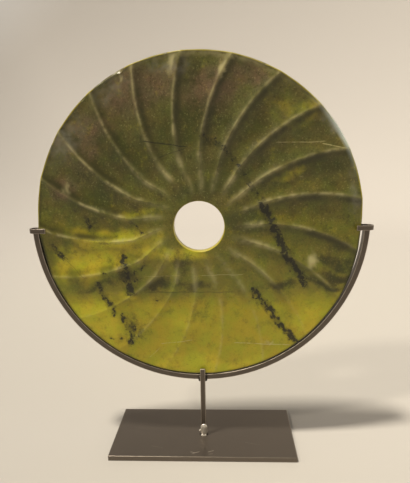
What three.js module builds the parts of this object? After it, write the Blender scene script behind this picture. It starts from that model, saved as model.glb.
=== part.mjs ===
import * as THREE from 'three';

// Carved stone bi disc resting upright in a welded steel cradle on a flat base plate.
// Millimetres, +Z up. The origin is the centre of the base plate's underside.
// The disc's carved face looks along -Y.

// ---- Driving dimensions ----
const DISC = {
  radius: 175,
  holeRadius: 27.3,
  holeOffsetX: 0.2, // the bore was drilled a little off the disc's centre
  holeOffsetZ: -2.5,
  centreX: -1.6, // the disc leans on the left side of its slightly wider cradle
  centreZ: 258,
  thicknessAtHole: 11.4,
  thicknessAtRim: 9,
  rimBevel: 1.6,
  holeBevel: 0.9,
  edgeFlat: { angleDeg: -5, depth: 1.6, spreadDeg: 10 }, // a worn flat low on the right edge
};

const FLUTES = {
  count: 20,
  stepsPerFlute: 8,
  firstCrestDeg: 0.6,
  depthAtRim: 3.8,
  depthAtHole: 0.5,
  floorPower: 2.4, // above 2 the floor of a flute is broad and its flanks are steep
  skew: 1.12, // over 1 the flank on the clockwise side of a crest is the steeper one
  turnRadius: 0.42, // share of the radius where each crest's S-curve turns
  outerSweepDeg: 11, // how far a crest trails clockwise between the turn and the rim
  outerSweepPower: 1.35,
  innerSweepDeg: 14, // how far it trails clockwise between the turn and the hole
  innerSweepPower: 1.3,
  innerSweepTowardsDeg: 190, // the inner hook is full on this side of the disc and dies out opposite
  wander: { meanDeg: -2.9, swingDeg: 3.75, towardsDeg: 20 }, // the crests were laid out by eye
  smoothCollar: 0.26, // share of the radius where the flutes have died out round the hole
  wornShare: 0.28, // share of the depth left on the worn lower part
};

const PLATE = { width: 210, depth: 100, thickness: 6, bevel: 0.5 };
const UPRIGHT = { width: 5.8, thickness: 3, top: 90.5, bevel: 0.3 };
const CRADLE_CENTRE_X = -1; // the arc was welded a little to the left of the upright
const ARC = { innerRadius: 176, radial: 6, depth: 8.4, bevel: 0.4, centreZ: 258.4, segments: 56 };
const CLIP = {
  height: 5,
  thickness: 2,
  innerWidth: 10.2,
  tipX: 167.4, // from the cradle's centre line
  outerX: 186.4,
  bevel: 0.25,
  topZ: { left: 254.2, right: 255.4 },
  bendSegments: 8,
};
const BACK_CLAW_TOP = 90.5;
const ARC_END_INSET = 1; // the arc stops this far below the top of its clip

const JADE = new THREE.MeshStandardMaterial({ color: 0x6e6a2b, roughness: 0.32, metalness: 0 });
const PATINATED_STEEL = new THREE.MeshStandardMaterial({ color: 0x5b5046, roughness: 0.45, metalness: 0.85 });

// ---- Small helpers ----
const radians = (degrees) => (degrees * Math.PI) / 180;
const mix = (a, b, t) => a + (b - a) * t;

function smoothstep(low, high, value) {
  const t = Math.min(Math.max((value - low) / (high - low), 0), 1);
  return t * t * (3 - 2 * t);
}

function namedMesh(name, geometry, material) {
  const mesh = new THREE.Mesh(geometry, material);
  mesh.name = name;
  return mesh;
}

// ---- Disc ----
// Where a crest laid out evenly at an angle really stands, in radians.
function laidOut(angle) {
  const { meanDeg, swingDeg, towardsDeg } = FLUTES.wander;
  return angle + radians(meanDeg + swingDeg * Math.cos(angle - radians(towardsDeg)));
}

// Angle, in radians, by which a crest has trailed clockwise at a share of the disc's radius.
function sweepAt(radiusShare, angle) {
  const { turnRadius, outerSweepDeg, outerSweepPower, innerSweepDeg, innerSweepPower } = FLUTES;
  if (radiusShare > turnRadius) {
    const outward = (radiusShare - turnRadius) / (1 - turnRadius);
    return radians(outerSweepDeg * Math.pow(outward, outerSweepPower));
  }
  const inward = (turnRadius - radiusShare) / (turnRadius - DISC.holeRadius / DISC.radius);
  const hook = (1 + Math.cos(angle - radians(FLUTES.innerSweepTowardsDeg))) / 2;
  return radians(innerSweepDeg * hook * Math.pow(inward, innerSweepPower));
}

// Depth of the carving below the crests. flutePlace runs from 0 to 1 between two crests, and
// height is the point's height over the disc's centre as a share of the radius.
function carvedDepth(flutePlace, radiusShare, height) {
  const { depthAtRim, depthAtHole, floorPower, skew, smoothCollar, wornShare } = FLUTES;
  const across = Math.abs(2 * Math.pow(flutePlace, skew) - 1);
  const floor = 1 - Math.pow(across, floorPower);
  const spread = smoothstep(smoothCollar * 0.7, 0.62, radiusShare);
  const wear = mix(wornShare, 1, smoothstep(-0.75, -0.05, height));
  return mix(depthAtHole * spread, depthAtRim, spread) * floor * wear;
}

// The section is a closed loop of rings: out over the carved face, round the rim, back over the
// plain face and home along the bore. Each ring has a radius, a place in the thickness from
// -1 (carved face) to 1 (plain face), a bevel drawn back from that face, and a share of carving.
function discRings() {
  const { radius, holeRadius, rimBevel, holeBevel } = DISC;
  const rings = [];
  const faceRadii = [36, 47, 60, 74, 90, 106, 122, 138, 153, 165];
  const backRadii = [150, 90];
  rings.push({ radius: holeRadius, side: -1, bevel: holeBevel, carving: 0 });
  rings.push({ radius: holeRadius + holeBevel, side: -1, bevel: 0, carving: 0 });
  for (const faceRadius of faceRadii) {
    rings.push({ radius: faceRadius, side: -1, bevel: 0, carving: 1 });
  }
  rings.push({ radius: radius - rimBevel, side: -1, bevel: 0, carving: 0.85 });
  rings.push({ radius, side: -1, bevel: rimBevel, carving: 0.4 });
  rings.push({ radius, side: 1, bevel: rimBevel, carving: 0 });
  rings.push({ radius: radius - rimBevel, side: 1, bevel: 0, carving: 0 });
  for (const backRadius of backRadii) {
    rings.push({ radius: backRadius, side: 1, bevel: 0, carving: 0 });
  }
  rings.push({ radius: holeRadius + holeBevel, side: 1, bevel: 0, carving: 0 });
  rings.push({ radius: holeRadius, side: 1, bevel: holeBevel, carving: 0 });
  return rings;
}

// How far the disc's edge falls short of a true circle at an angle.
function edgeShortfall(angle) {
  const { angleDeg, depth, spreadDeg } = DISC.edgeFlat;
  const away = Math.atan2(Math.sin(angle - radians(angleDeg)), Math.cos(angle - radians(angleDeg)));
  return depth * Math.exp(-Math.pow(away / radians(spreadDeg), 2));
}

function discPoint(ring, step, steps) {
  const { radius, holeRadius, holeOffsetX, holeOffsetZ, centreX, centreZ } = DISC;
  const radiusShare = ring.radius / radius;
  const outward = (ring.radius - holeRadius) / (radius - holeRadius);
  const crestAngle = laidOut((step / steps) * 2 * Math.PI + radians(FLUTES.firstCrestDeg));
  const angle = crestAngle - sweepAt(radiusShare, crestAngle);
  const reach = ring.radius - outward * outward * edgeShortfall(angle);
  const x = holeOffsetX * (1 - outward) + reach * Math.cos(angle);
  const z = holeOffsetZ * (1 - outward) + reach * Math.sin(angle);
  const flutePlace = (step % FLUTES.stepsPerFlute) / FLUTES.stepsPerFlute;
  const halfThickness = mix(DISC.thicknessAtHole, DISC.thicknessAtRim, outward) / 2;
  const cut = ring.carving * carvedDepth(flutePlace, radiusShare, z / radius);
  const y = ring.side * (halfThickness - ring.bevel - cut);
  return [centreX + x, y, centreZ + z];
}

function jadeDisc() {
  const rings = discRings();
  const steps = FLUTES.count * FLUTES.stepsPerFlute;
  const positions = [];
  const triangles = [];
  for (const ring of rings) {
    for (let step = 0; step < steps; step += 1) {
      positions.push(...discPoint(ring, step, steps));
    }
  }
  rings.forEach((ring, index) => {
    const here = index * steps;
    const next = ((index + 1) % rings.length) * steps;
    for (let step = 0; step < steps; step += 1) {
      const after = (step + 1) % steps;
      triangles.push(here + step, next + step, next + after);
      triangles.push(here + step, next + after, here + after);
    }
  });
  const geometry = new THREE.BufferGeometry();
  geometry.setAttribute('position', new THREE.Float32BufferAttribute(positions, 3));
  geometry.setIndex(triangles);
  geometry.computeVertexNormals();
  return namedMesh('jade_disc', geometry, JADE);
}

// ---- Steel stand ----
// A rectangle centred on its own origin, extruded upwards from bottom to top with beveled ends.
function bevelledBar(name, width, depth, bottom, top, bevel) {
  const outline = new THREE.Shape();
  const halfWidth = width / 2 - bevel;
  const halfDepth = depth / 2 - bevel;
  outline.moveTo(-halfWidth, -halfDepth);
  outline.lineTo(halfWidth, -halfDepth);
  outline.lineTo(halfWidth, halfDepth);
  outline.lineTo(-halfWidth, halfDepth);
  outline.closePath();
  const geometry = new THREE.ExtrudeGeometry(outline, {
    depth: top - bottom - 2 * bevel,
    bevelThickness: bevel,
    bevelSize: bevel,
    bevelSegments: 1,
  });
  geometry.translate(0, 0, bottom + bevel);
  return namedMesh(name, geometry, PATINATED_STEEL);
}

const legInnerY = CLIP.innerWidth / 2;

function basePlate() {
  return bevelledBar('base_plate', PLATE.width, PLATE.depth, 0, PLATE.thickness, PLATE.bevel);
}

// The upright stands in front of the arc, and its top end is the claw before the disc's foot.
function upright() {
  const bar = bevelledBar(
    'upright_with_front_claw', UPRIGHT.width, UPRIGHT.thickness, PLATE.thickness, UPRIGHT.top, UPRIGHT.bevel,
  );
  bar.geometry.translate(0, -legInnerY - UPRIGHT.thickness / 2, 0);
  return bar;
}

function backClaw() {
  const bottom = ARC.centreZ - ARC.innerRadius - ARC.radial;
  const bar = bevelledBar(
    'back_claw', UPRIGHT.width, UPRIGHT.thickness, bottom, BACK_CLAW_TOP, UPRIGHT.bevel,
  );
  bar.geometry.translate(0, legInnerY + UPRIGHT.thickness / 2, 0);
  return bar;
}

// A square-edged bar bent to just under a half circle, open upwards.
function cradleArc() {
  const outerRadius = ARC.innerRadius + ARC.radial;
  const middle = ARC.innerRadius + ARC.radial / 2;
  const dropLeft = ARC.centreZ - (CLIP.topZ.left - ARC_END_INSET);
  const dropRight = ARC.centreZ - (CLIP.topZ.right - ARC_END_INSET);
  const start = Math.PI + Math.asin(dropLeft / middle);
  const end = 2 * Math.PI - Math.asin(dropRight / middle);
  const outline = new THREE.Shape();
  outline.absarc(0, 0, outerRadius - ARC.bevel, start, end, false);
  outline.absarc(0, 0, ARC.innerRadius + ARC.bevel, end, start, true);
  outline.closePath();
  const geometry = new THREE.ExtrudeGeometry(outline, {
    depth: ARC.depth - 2 * ARC.bevel,
    bevelThickness: ARC.bevel,
    bevelSize: ARC.bevel,
    bevelSegments: 1,
    curveSegments: ARC.segments,
  });
  geometry.translate(0, 0, ARC.bevel - ARC.depth / 2);
  geometry.rotateX(Math.PI / 2);
  geometry.translate(CRADLE_CENTRE_X, 0, ARC.centreZ);
  return namedMesh('cradle_arc', geometry, PATINATED_STEEL);
}

// A strip bent to a U in plan: a leg before the disc, a round bend outside it and a leg behind it.
function edgeClip(name, side, topZ) {
  const outerBend = legInnerY + CLIP.thickness - CLIP.bevel;
  const innerBend = legInnerY + CLIP.bevel;
  const bendCentre = CLIP.outerX - legInnerY - CLIP.thickness;
  const tip = CLIP.tipX + CLIP.bevel;
  const outline = new THREE.Shape();
  outline.moveTo(tip, -outerBend);
  outline.lineTo(bendCentre, -outerBend);
  outline.absarc(bendCentre, 0, outerBend, -Math.PI / 2, Math.PI / 2, false);
  outline.lineTo(tip, outerBend);
  outline.lineTo(tip, innerBend);
  outline.lineTo(bendCentre, innerBend);
  outline.absarc(bendCentre, 0, innerBend, Math.PI / 2, -Math.PI / 2, true);
  outline.lineTo(tip, -innerBend);
  outline.closePath();
  const geometry = new THREE.ExtrudeGeometry(outline, {
    depth: CLIP.height - 2 * CLIP.bevel,
    bevelThickness: CLIP.bevel,
    bevelSize: CLIP.bevel,
    bevelSegments: 1,
    curveSegments: CLIP.bendSegments,
  });
  geometry.translate(0, 0, topZ - CLIP.height + CLIP.bevel);
  if (side < 0) {
    geometry.rotateZ(Math.PI);
  }
  geometry.translate(CRADLE_CENTRE_X, 0, 0);
  return namedMesh(name, geometry, PATINATED_STEEL);
}

// ---- Assembly ----
const part = new THREE.Group();
part.add(basePlate());
part.add(upright());
part.add(cradleArc());
part.add(backClaw());
part.add(edgeClip('left_clip', -1, CLIP.topZ.left));
part.add(edgeClip('right_clip', 1, CLIP.topZ.right));
part.add(jadeDisc());

export default part;
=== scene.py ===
"""Carved jade bi disc resting upright in a patinated steel cradle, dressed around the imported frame.

Sizes are in millimetres unless a name says otherwise, and become metres where a mesh is made.
The disc's carved face looks along -Y, and the origin is the centre of the base plate's underside.
"""

import logging
import math
from dataclasses import dataclass, field
from enum import Enum
from typing import Any

import bpy
import numpy as np
from mathutils import Matrix, Vector


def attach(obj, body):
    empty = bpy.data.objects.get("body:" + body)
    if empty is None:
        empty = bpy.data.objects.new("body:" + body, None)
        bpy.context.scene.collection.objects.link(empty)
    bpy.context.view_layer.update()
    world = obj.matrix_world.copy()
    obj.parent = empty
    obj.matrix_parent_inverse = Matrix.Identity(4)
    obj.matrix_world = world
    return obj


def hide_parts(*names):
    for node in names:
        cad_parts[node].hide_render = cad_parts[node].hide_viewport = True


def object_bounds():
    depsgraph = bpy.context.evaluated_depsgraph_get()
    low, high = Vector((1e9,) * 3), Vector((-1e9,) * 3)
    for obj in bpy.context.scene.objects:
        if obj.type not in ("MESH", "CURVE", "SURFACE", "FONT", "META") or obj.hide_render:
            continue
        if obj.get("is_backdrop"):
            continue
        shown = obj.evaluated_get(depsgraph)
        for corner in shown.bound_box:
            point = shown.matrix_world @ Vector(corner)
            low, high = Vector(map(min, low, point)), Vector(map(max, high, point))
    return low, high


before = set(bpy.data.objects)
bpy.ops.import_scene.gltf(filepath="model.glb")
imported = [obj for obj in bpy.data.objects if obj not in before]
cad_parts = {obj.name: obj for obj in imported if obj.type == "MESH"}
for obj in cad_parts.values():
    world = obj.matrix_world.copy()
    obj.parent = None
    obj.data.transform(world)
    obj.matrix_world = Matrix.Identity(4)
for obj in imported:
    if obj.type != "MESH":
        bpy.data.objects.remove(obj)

CAD_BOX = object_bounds()
MM = 0.001
FULL_TURN = 2 * math.pi
BODY = "root"
DISC_RADIUS = 175.0
LOG = logging.getLogger("bi_disc")

Colour = tuple[float, float, float]
Place = tuple[float, float]
Pair = tuple[float, float]


class Slot(Enum):
    """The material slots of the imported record."""

    JADE = "jade"
    STEEL = "patinated_steel"


# ---------------------------------------------------------------- small sums


def smoothstep(low: float, high: float, value: np.ndarray) -> np.ndarray:
    """Rises from 0 at low to 1 at high along 3t^2 - 2t^3."""
    share = np.clip((value - low) / (high - low), 0.0, 1.0)
    return share * share * (3.0 - 2.0 * share)


def blend(start: Any, end: Any, share: Any) -> Any:
    """The value a share of the way from start to end."""
    return start + (end - start) * share


def bump_at(angle: np.ndarray, centre_deg: float, spread_deg: float) -> np.ndarray:
    """A bell of height 1 round an angle: exp(-(turn away / spread)^2), wrapped round the circle.

    Args:
        angle: The angles, in radians.
        centre_deg: Where the bell stands.
        spread_deg: How far away it has fallen to 1 / e.

    Returns:
        The bell's height at each angle.
    """
    away = angle - math.radians(centre_deg)
    away = np.arctan2(np.sin(away), np.cos(away))
    return np.exp(-((away / math.radians(spread_deg)) ** 2))


# ---------------------------------------------------------------- meshes


@dataclass
class Skin:
    """A surface on a grid, gathered as arrays before it becomes a mesh.

    points is rows x columns x 3 in millimetres. Columns always close on themselves. Rows either
    close on themselves too, as round a ring, or end in two flat caps. marks holds a number per
    point for each named attribute.
    """

    name: str
    points: np.ndarray
    rows_close: bool
    slot: Slot
    marks: dict[str, np.ndarray] = field(default_factory=dict)

    def _faces(self) -> tuple[np.ndarray, list[np.ndarray]]:
        """Quads over the grid, and the caps where the rows don't close.

        Returns:
            The quads as an n x 4 array of point numbers, and a list of cap outlines.
        """
        rows, columns = self.points.shape[:2]
        last = rows if self.rows_close else rows - 1
        row, column = np.meshgrid(np.arange(last), np.arange(columns), indexing="ij")
        beyond = (row + 1) % rows
        beside = (column + 1) % columns
        quads = np.stack(
            [
                row * columns + column,
                row * columns + beside,
                beyond * columns + beside,
                beyond * columns + column,
            ],
            axis=-1,
        ).reshape(-1, 4)
        if self.rows_close:
            return quads, []
        first_cap = np.arange(columns)[::-1]
        last_cap = np.arange(columns) + (rows - 1) * columns
        return quads, [first_cap, last_cap]

    def _faces_point_in(self, places: np.ndarray, quads: np.ndarray, caps: list[np.ndarray]) -> bool:
        """True if the closed surface holds a negative volume, summed over a fan of each face.

        Args:
            places: The points.
            quads: The faces over the grid.
            caps: The outlines of the flat ends.

        Returns:
            Whether every face has to be turned over.
        """
        fans = [quads[:, [0, 1, 2]], quads[:, [0, 2, 3]]]
        for cap in caps:
            fans.append(np.stack([np.full(len(cap) - 2, cap[0]), cap[1:-1], cap[2:]], axis=-1))
        corners = places[np.concatenate(fans)]
        volume = np.einsum("ij,ij->i", corners[:, 0], np.cross(corners[:, 1], corners[:, 2])).sum()
        return bool(volume < 0)

    def build(self, material: bpy.types.Material) -> bpy.types.Object:
        """Puts the skin into a mesh object that rides on the part.

        Args:
            material: The finish of the whole piece.

        Returns:
            The new object, at the origin, unturned and unscaled.
        """
        places = self.points.reshape(-1, 3) * MM
        quads, caps = self._faces()
        if self._faces_point_in(places, quads, caps):
            quads = quads[:, ::-1]
            caps = [cap[::-1] for cap in caps]
        mesh = bpy.data.meshes.new(self.name)
        mesh.from_pydata(places.tolist(), [], quads.tolist() + [cap.tolist() for cap in caps])
        mesh.polygons.foreach_set("use_smooth", np.ones(len(mesh.polygons), bool))
        for mark, values in self.marks.items():
            layer = mesh.attributes.new(mark, "FLOAT", "POINT")
            layer.data.foreach_set("value", np.ascontiguousarray(values, np.float32).reshape(-1))
        mesh.materials.append(material)
        mesh.update()
        piece = bpy.data.objects.new(self.name, mesh)
        bpy.context.scene.collection.objects.link(piece)
        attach(piece, BODY)
        LOG.info("%s: %d faces", self.name, len(mesh.polygons))
        return piece


@dataclass(frozen=True)
class BarSection:
    """The rounded rectangle that a strip or plate keeps along its length."""

    width: float
    depth: float
    corner: float
    arc_steps: int = 4
    collar: float = 0.35
    least_round: float = 0.02

    def outline(self, inset: np.ndarray) -> np.ndarray:
        """The outline at each inset, corner by corner with a point on the flat either side of each.

        A corner's points are its core, which the roundness is measured from, plus the roundness
        times the direction at each step of a quarter turn.

        Args:
            inset: How far the outline is drawn in, one number per row.

        Returns:
            rows x points x 2.
        """
        rounding = np.maximum(self.corner - inset, self.least_round)[:, None]
        reach_x = self.width / 2 - inset[:, None] - rounding
        reach_y = self.depth / 2 - inset[:, None] - rounding
        turn = np.linspace(0.0, math.pi / 2, self.arc_steps + 1)
        sides = []
        for quarter in range(4):
            angle = turn + quarter * math.pi / 2
            sign_x = 1 if quarter in (0, 3) else -1
            sign_y = 1 if quarter in (0, 1) else -1
            along_x = quarter in (1, 3)
            x = sign_x * reach_x + rounding * np.cos(angle)
            y = sign_y * reach_y + rounding * np.sin(angle)
            first_x = x[:, :1] - (sign_x * self.collar if along_x else 0)
            first_y = y[:, :1] - (0 if along_x else sign_y * self.collar)
            final_x = x[:, -1:] - (0 if along_x else sign_x * self.collar)
            final_y = y[:, -1:] - (sign_y * self.collar if along_x else 0)
            corner = np.stack([np.hstack([first_x, x, final_x]), np.hstack([first_y, y, final_y])], -1)
            sides.append(corner)
        return np.concatenate(sides, axis=1)

    def arris(self) -> np.ndarray:
        """1 on the rounded corners of the outline and 0 on the flats between them."""
        corner = np.r_[0.0, np.ones(self.arc_steps + 1), 0.0]
        return np.tile(corner, 4)

    def arris_marks(self, ends: np.ndarray) -> np.ndarray:
        """The larger of the outline's marks and the row's own, with both flat end faces at 0.

        Args:
            ends: The rows' own marks.

        Returns:
            rows x points.
        """
        marks = np.maximum(self.arris()[None, :], ends[:, None])
        marks[[0, -1]] = 0.0
        return marks

    def stations(self, length: float, middle: int) -> tuple[np.ndarray, np.ndarray, np.ndarray]:
        """Places along a bar with rounded ends, and how far each is drawn in.

        Each end is a quarter circle of the corner's radius, with one more row inside it on the
        end face and one more beyond it on the bar.

        Args:
            length: The bar's length.
            middle: How many rows lie between the two ends.

        Returns:
            Places along the bar, insets and arris marks, one of each per row.
        """
        turn = np.linspace(0.0, math.pi / 2, self.arc_steps + 1)
        along = np.r_[0.0, self.corner * (1 - np.cos(turn)), self.corner + self.collar]
        inset = np.r_[self.corner + self.collar, self.corner * (1 - np.sin(turn)), 0.0]
        mark = np.r_[0.0, np.ones(self.arc_steps + 1), 0.0]
        between = np.linspace(along[-1], length - along[-1], middle + 2)[1:-1]
        flat = np.zeros(middle)
        return (
            np.r_[along, between, length - along[::-1]],
            np.r_[inset, flat, inset[::-1]],
            np.r_[mark, flat, mark[::-1]],
        )


@dataclass(frozen=True)
class Rail:
    """A line that a section is carried along: a place and two crosswise directions per row."""

    centres: np.ndarray
    across: np.ndarray
    upward: np.ndarray

    def carry(self, outline: np.ndarray) -> np.ndarray:
        """Each outline point is the row's centre plus its two amounts along the two directions.

        Args:
            outline: rows x points x 2.

        Returns:
            rows x points x 3.
        """
        across = outline[..., :1] * self.across[:, None, :]
        upward = outline[..., 1:] * self.upward[:, None, :]
        return self.centres[:, None, :] + across + upward


def straight_rail(start: Place, along: np.ndarray, bottom: float) -> Rail:
    """An upright rail at a place in plan: the centre rises with the distance along it.

    Args:
        start: The rail's place in plan.
        along: Distances along it.
        bottom: The height that they are measured from.

    Returns:
        The rail, with +X across and +Y upward.
    """
    count = len(along)
    centres = np.stack([np.full(count, start[0]), np.full(count, start[1]), bottom + along], -1)
    return Rail(centres, np.tile([1.0, 0.0, 0.0], (count, 1)), np.tile([0.0, 1.0, 0.0], (count, 1)))


# ---------------------------------------------------------------- shader writing


class Value:
    """One number of a material, whose operators add Math nodes."""

    def __init__(self, graph: "Graph", socket: bpy.types.NodeSocket) -> None:
        """Wraps a socket of a graph."""
        self.graph = graph
        self.socket = socket

    def _math(self, operation: str, first: Any, second: Any = 0.0) -> "Value":
        """A Math node on two amounts, as a Value."""
        node = self.graph.node("ShaderNodeMath", {"operation": operation}, {0: first, 1: second})
        return Value(self.graph, node.outputs[0])

    def __add__(self, other: Any) -> "Value":
        """Sum."""
        return self._math("ADD", self, other)

    def __radd__(self, other: Any) -> "Value":
        """Sum with a plain number first."""
        return self._math("ADD", other, self)

    def __sub__(self, other: Any) -> "Value":
        """Difference."""
        return self._math("SUBTRACT", self, other)

    def __rsub__(self, other: Any) -> "Value":
        """A plain number less this."""
        return self._math("SUBTRACT", other, self)

    def __mul__(self, other: Any) -> "Value":
        """Product."""
        return self._math("MULTIPLY", self, other)

    def __rmul__(self, other: Any) -> "Value":
        """Product with a plain number first."""
        return self._math("MULTIPLY", other, self)

    def root(self) -> "Value":
        """Its square root."""
        return self._math("SQRT", self)

    def highest(self, other: Any) -> "Value":
        """The larger of the two."""
        return self._math("MAXIMUM", self, other)

    def absolute(self) -> "Value":
        """Its size without its sign."""
        return self._math("ABSOLUTE", self)

    def rise(self, low: float, high: float) -> "Value":
        """0 at low and 1 at high, eased at both ends; low may be the larger.

        Args:
            low: Where the result is 0.
            high: Where it is 1.

        Returns:
            The share.
        """
        settings = {"interpolation_type": "SMOOTHSTEP"}
        inputs = {"Value": self, "From Min": low, "From Max": high, "To Min": 0.0, "To Max": 1.0}
        if low > high:
            inputs |= {"From Min": high, "From Max": low, "To Min": 1.0, "To Max": 0.0}
        return Value(self.graph, self.graph.node("ShaderNodeMapRange", settings, inputs).outputs[0])


@dataclass(frozen=True)
class Graph:
    """One material's nodes. Every node other than a Math node comes from its node method."""

    tree: bpy.types.NodeTree

    def node(
        self,
        kind: str,
        settings: dict[str, Any] | None = None,
        inputs: dict[Any, Any] | None = None,
    ) -> bpy.types.Node:
        """Makes a node.

        Args:
            kind: The node's type.
            settings: Its properties, set first; "stops" holds a ramp's (place, colour) pairs.
            inputs: Values, or links from a socket, Value or node, by socket name or number.

        Returns:
            The node.
        """
        made = self.tree.nodes.new(kind)
        for name, setting in (settings or {}).items():
            if name == "stops":
                self._set_stops(made.color_ramp, setting)
            else:
                setattr(made, name, setting)
        for name, given in (inputs or {}).items():
            source = given.socket if isinstance(given, Value) else given
            if isinstance(source, bpy.types.NodeSocket):
                self.tree.links.new(source, made.inputs[name])
            else:
                made.inputs[name].default_value = source
        return made

    @staticmethod
    def _set_stops(ramp: bpy.types.ColorRamp, stops: list[tuple[float, Colour]]) -> None:
        """Gives a ramp its stops.

        Args:
            ramp: The ramp of a colour ramp node.
            stops: Each stop's place from 0 to 1 and its colour.
        """
        while len(ramp.elements) < len(stops):
            ramp.elements.new(1.0)
        for element, (place, colour) in zip(ramp.elements, stops):
            element.position = place
            element.color = (*colour, 1.0)

    def place(self) -> bpy.types.NodeSocket:
        """The point being shaded, in metres in the part's frame."""
        return self.node("ShaderNodeTexCoord").outputs["Object"]

    def vector(self, operation: str, first: Any, second: Any) -> bpy.types.NodeSocket:
        """A Vector Math node's vector."""
        inputs = {0: first, 1: second}
        return self.node("ShaderNodeVectorMath", {"operation": operation}, inputs).outputs[0]

    def scaled(self, vector: Any, amount: Any) -> bpy.types.NodeSocket:
        """A vector times a number."""
        inputs = {0: vector, "Scale": amount}
        return self.node("ShaderNodeVectorMath", {"operation": "SCALE"}, inputs).outputs[0]

    def parts(self, vector: Any) -> tuple[Value, Value, Value]:
        """A vector's three numbers."""
        node = self.node("ShaderNodeSeparateXYZ", {}, {0: vector})
        return tuple(Value(self, socket) for socket in node.outputs)

    def noise(self, place: Any, size_mm: float, detail: float = 3.0, rough: float = 0.5) -> Value:
        """Cloudy noise from 0 to 1 whose lumps are about size_mm across."""
        inputs = {"Vector": place, "Scale": 1 / (size_mm * MM), "Detail": detail, "Roughness": rough}
        return Value(self, self.node("ShaderNodeTexNoise", {}, inputs).outputs[0])

    def wander(self, place: Any, size_mm: float, reach_mm: float) -> bpy.types.NodeSocket:
        """The place pushed about by coloured noise: place + reach x (noise - one half).

        Args:
            place: The place to push.
            size_mm: The size of the noise's lumps.
            reach_mm: How far it pushes.

        Returns:
            The pushed place.
        """
        inputs = {"Vector": place, "Scale": 1 / (size_mm * MM), "Detail": 3.0}
        pushed = self.node("ShaderNodeTexNoise", {}, inputs).outputs["Color"]
        centred = self.vector("SUBTRACT", pushed, (0.5, 0.5, 0.5))
        return self.vector("ADD", place, self.scaled(centred, 2 * reach_mm * MM))

    def mix(self, under: Any, over: Any, share: Any) -> bpy.types.NodeSocket:
        """One colour laid over another by a share.

        Args:
            under: The colour below, as a socket or a plain colour.
            over: The colour laid on it.
            share: How much of it shows, from 0 to 1.

        Returns:
            The mixed colour.
        """
        node = self.node("ShaderNodeMix", {"data_type": "RGBA"})
        for name, given in (("A", under), ("B", over)):
            socket = next(s for s in node.inputs if s.name == name and s.type == "RGBA")
            if isinstance(given, bpy.types.NodeSocket):
                self.tree.links.new(given, socket)
            else:
                socket.default_value = (*given, 1.0)
        if isinstance(share, Value):
            self.tree.links.new(share.socket, node.inputs["Factor"])
        else:
            node.inputs["Factor"].default_value = share
        return next(s for s in node.outputs if s.type == "RGBA")

    def mark(self, name: str) -> Value:
        """A number kept on the mesh's points."""
        node = self.node("ShaderNodeAttribute", {"attribute_name": name})
        return Value(self, node.outputs["Fac"])

    def bump(self, height: Value, depth_mm: float, under: Any = None) -> bpy.types.NodeSocket:
        """A normal raised by a height, which is 1 at depth_mm, over an earlier normal.

        Args:
            height: The relief's height.
            depth_mm: How far out a height of 1 stands.
            under: The normal that it is laid on, if there is one.

        Returns:
            The new normal.
        """
        inputs = {"Height": height, "Distance": depth_mm * MM, "Strength": 1.0}
        if under is not None:
            inputs["Normal"] = under
        return self.node("ShaderNodeBump", {}, inputs).outputs[0]

    def surface(self, inputs: dict[str, Any]) -> None:
        """Ends the material in a Principled surface with these inputs."""
        shader = self.node("ShaderNodeBsdfPrincipled", {}, inputs)
        self.node("ShaderNodeOutputMaterial", {}, {"Surface": shader.outputs[0]})


def new_material(name: str) -> tuple[bpy.types.Material, Graph]:
    """An empty node material and its graph.

    Args:
        name: The material's name.

    Returns:
        The material and the graph that its nodes are made in.
    """
    material = bpy.data.materials.new(name)
    material.use_nodes = True
    material.node_tree.nodes.clear()
    return material, Graph(material.node_tree)


# ---------------------------------------------------------------- finishes


@dataclass(frozen=True)
class Patch:
    """A soft cloud in the stone, placed from the disc's centre as the carved face is looked at."""

    right: float
    up: float
    across: float
    along: float
    turn_deg: float = 0.0
    strength: float = 1.0

    def mask(self, right: np.ndarray, up: np.ndarray) -> np.ndarray:
        """Its strength at the middle, falling to 0 at its oval edge with the turned, scaled distance.

        Args:
            right: Each point's place to the right of the disc's centre.
            up: Its place above the centre.

        Returns:
            The mask at each point.
        """
        turn = math.radians(self.turn_deg)
        aside, above = right - self.right, up - self.up
        local_x = (aside * math.cos(turn) + above * math.sin(turn)) / self.across
        local_y = (above * math.cos(turn) - aside * math.sin(turn)) / self.along
        return self.strength * smoothstep(1.0, 0.0, np.hypot(local_x, local_y))


@dataclass(frozen=True)
class Vein:
    """A line in the stone through a few places, each measured from the disc's centre."""

    places: tuple[Place, ...]
    width: float
    strength: float = 1.0

    def mask(self, right: np.ndarray, up: np.ndarray) -> np.ndarray:
        """Its strength on the line, falling to 0 half a width away.

        The distance to each straight stretch is the length of the point less its nearest place
        on the stretch, which is the start plus the stretch times the clamped share along it.

        Args:
            right: Each point's place to the right of the disc's centre.
            up: Its place above the centre.

        Returns:
            The mask at each point.
        """
        nearest = np.full(right.shape, np.inf)
        for start, end in zip(self.places, self.places[1:]):
            run_x, run_y = end[0] - start[0], end[1] - start[1]
            aside, above = right - start[0], up - start[1]
            share = np.clip((aside * run_x + above * run_y) / (run_x**2 + run_y**2), 0, 1)
            nearest = np.minimum(nearest, np.hypot(aside - run_x * share, above - run_y * share))
        return self.strength * smoothstep(self.width / 2, 0.0, nearest)


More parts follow.
